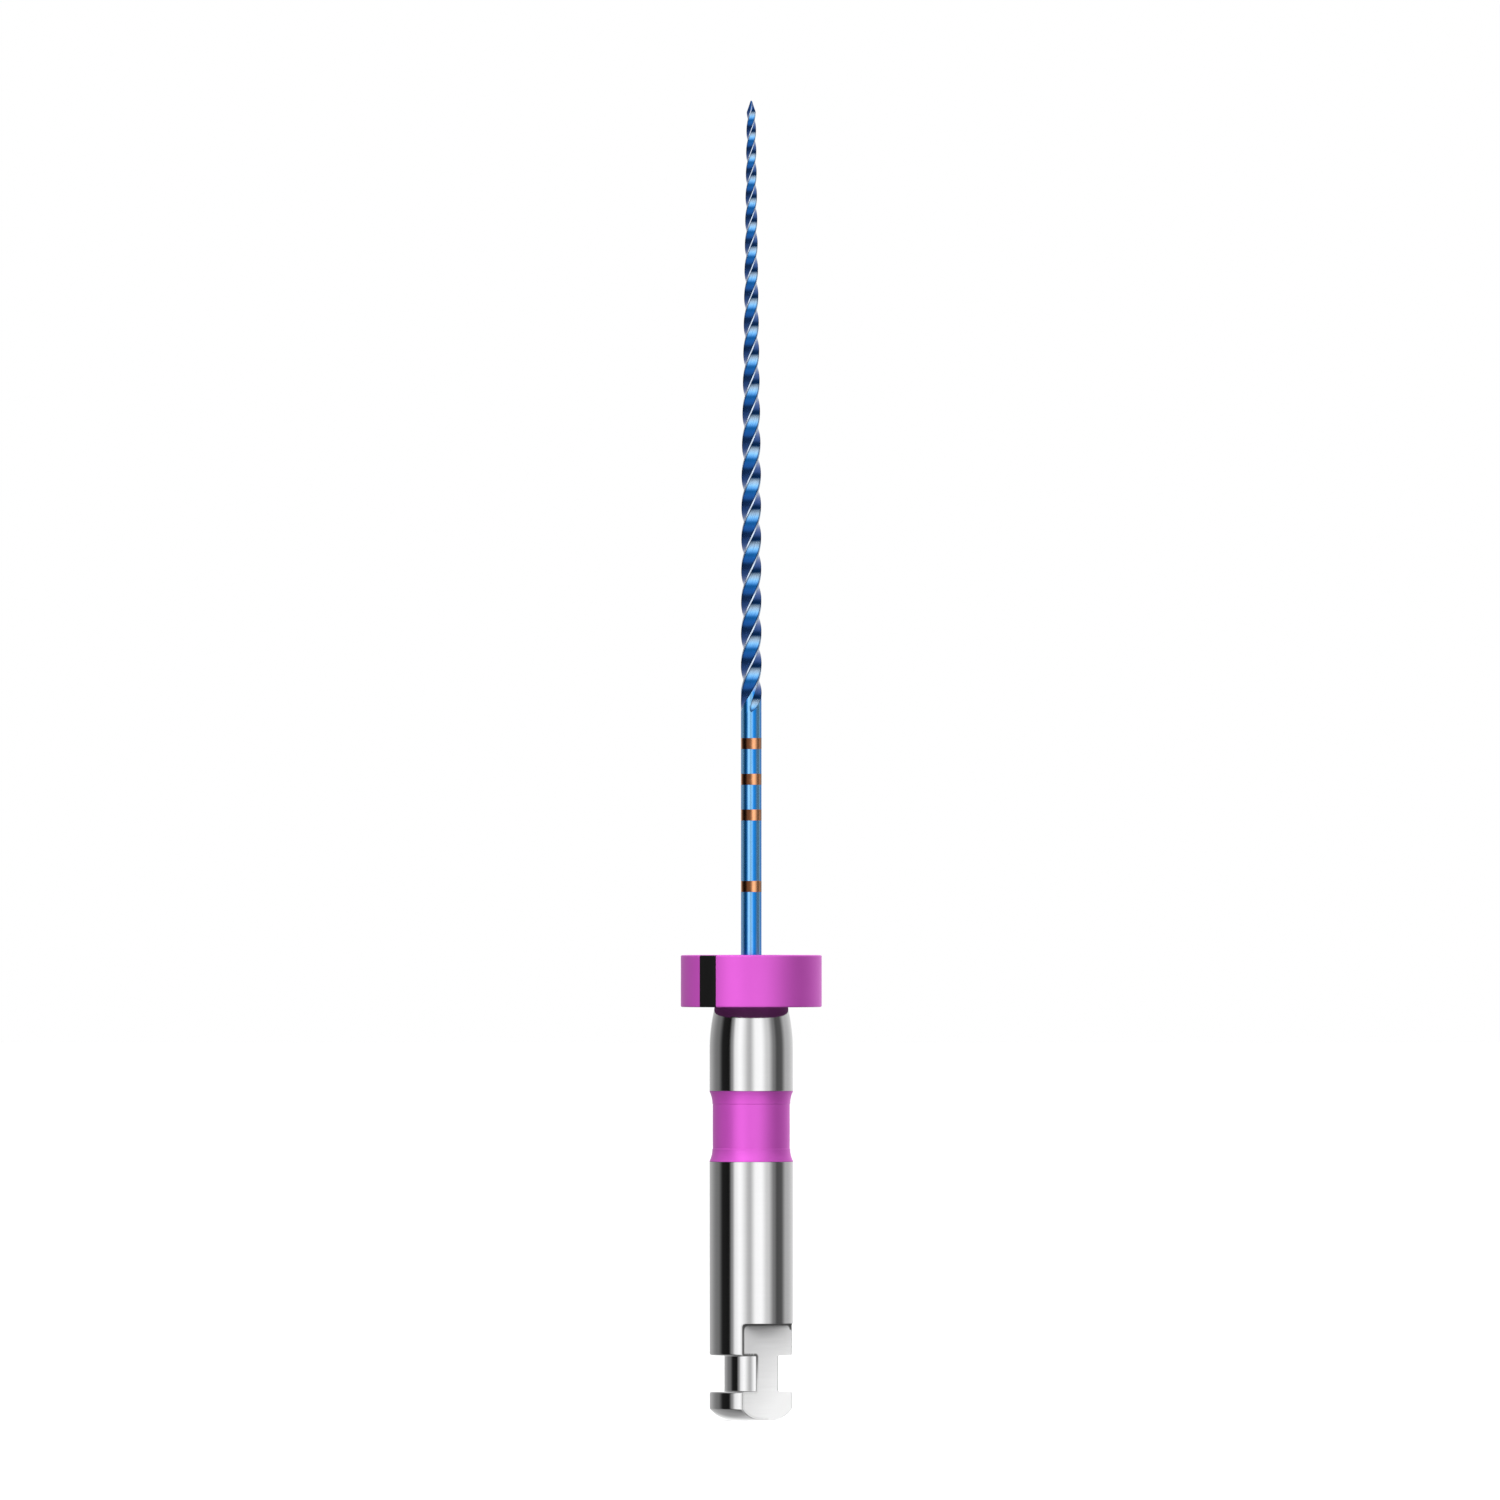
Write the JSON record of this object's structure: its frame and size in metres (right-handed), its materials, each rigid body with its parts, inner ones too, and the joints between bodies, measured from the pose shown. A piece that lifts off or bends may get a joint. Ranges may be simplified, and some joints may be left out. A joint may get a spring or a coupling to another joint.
{
  "type": "endodontic file",
  "caption": "Rotary root canal file: a tapered fluted blade bonded in a right-angle latch handle, with depth bands, a size ring and a sliding rubber stop.",
  "frame": {"origin": "centre of the latch end, on the axis", "axes": "+Z along the axis from the latch end to the tip; the handle's drive flat faces -Y"},
  "size_m": [0.004, 0.004, 0.0369],
  "materials": {
    "steel": "polished stainless steel",
    "niti_blue": "heat-treated nickel-titanium with a blue oxide",
    "copper_mark": "copper-coloured plated band",
    "adhesive": "cured adhesive",
    "purple_ring": "satin coloured plastic",
    "purple_silicone": "soft silicone",
    "black_silicone": "soft silicone"
  },
  "bodies": {
    "file": {"handle": "steel", "blade": "niti_blue", "tang_bond": "adhesive", "size_band": "purple_ring", "depth_mark_18mm": "copper_mark", "depth_mark_19mm": "copper_mark", "depth_mark_20mm": "copper_mark", "depth_mark_22mm": "copper_mark"},
    "stop": {"stop_disc": "purple_silicone", "stop_marker": "black_silicone"}
  },
  "joints": [
    {"name": "stop_slide", "type": "slide", "parent": "file", "child": "stop", "axis": [0, 0, 1], "range_m": [0, 0.0089]}
  ]
}
